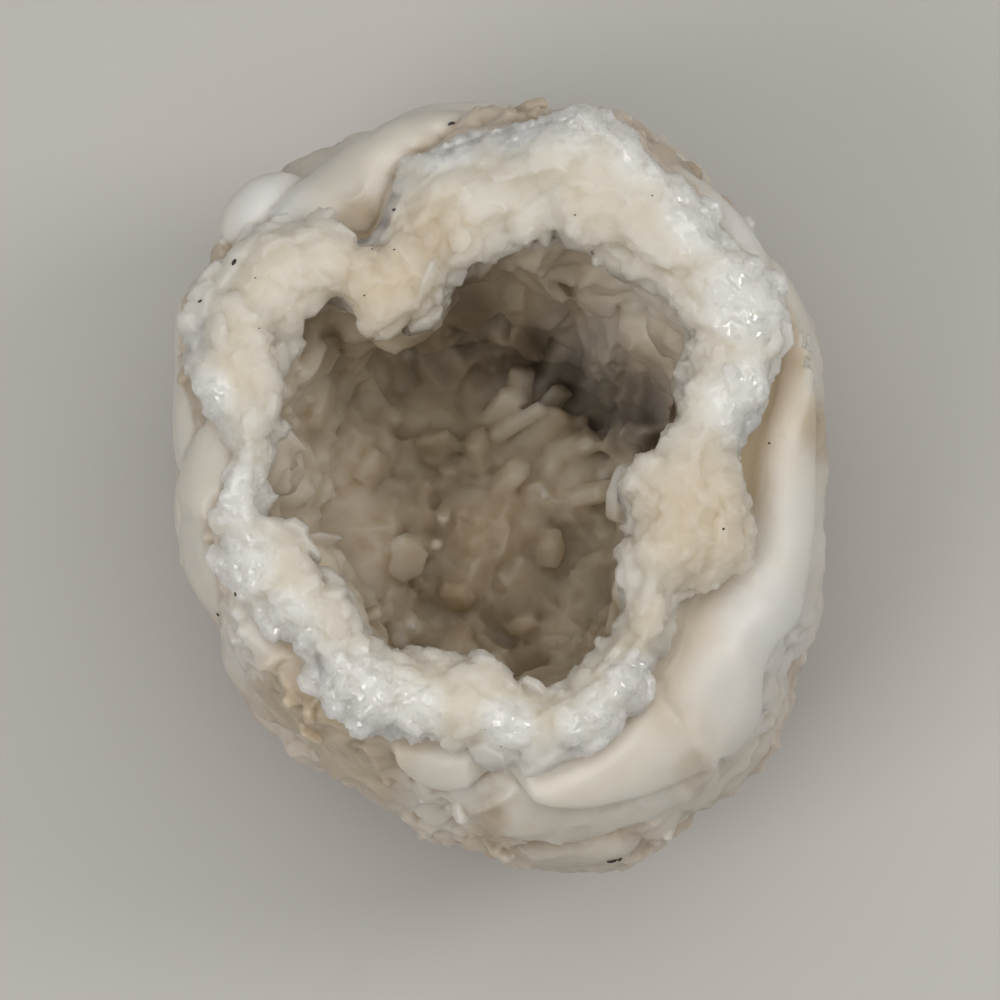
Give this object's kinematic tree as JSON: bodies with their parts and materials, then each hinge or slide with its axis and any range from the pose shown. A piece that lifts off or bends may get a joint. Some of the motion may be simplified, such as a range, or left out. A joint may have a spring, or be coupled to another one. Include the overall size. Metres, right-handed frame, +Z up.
{
  "type": "chalcedony geode",
  "caption": "Hollow nodule of pale chalcedony, broken open at the top, lined and rimmed with sugary drusy quartz.",
  "frame": {"origin": "middle of the bounding box, on the flat that the nodule rests on", "axes": "+Z up, out of the hollow; +Y along the nodule's longest side; +X to the right, seen from above"},
  "size_m": [0.0792, 0.0928, 0.0666],
  "materials": {
    "chalcedony": "waxy, smooth lobes with a rough skin between them",
    "quartz": "sugary, milky and translucent, with small bright facets"
  },
  "bodies": {
    "root": {"chalcedony_shell": "chalcedony", "quartz_crust": "quartz"}
  },
  "joints": []
}
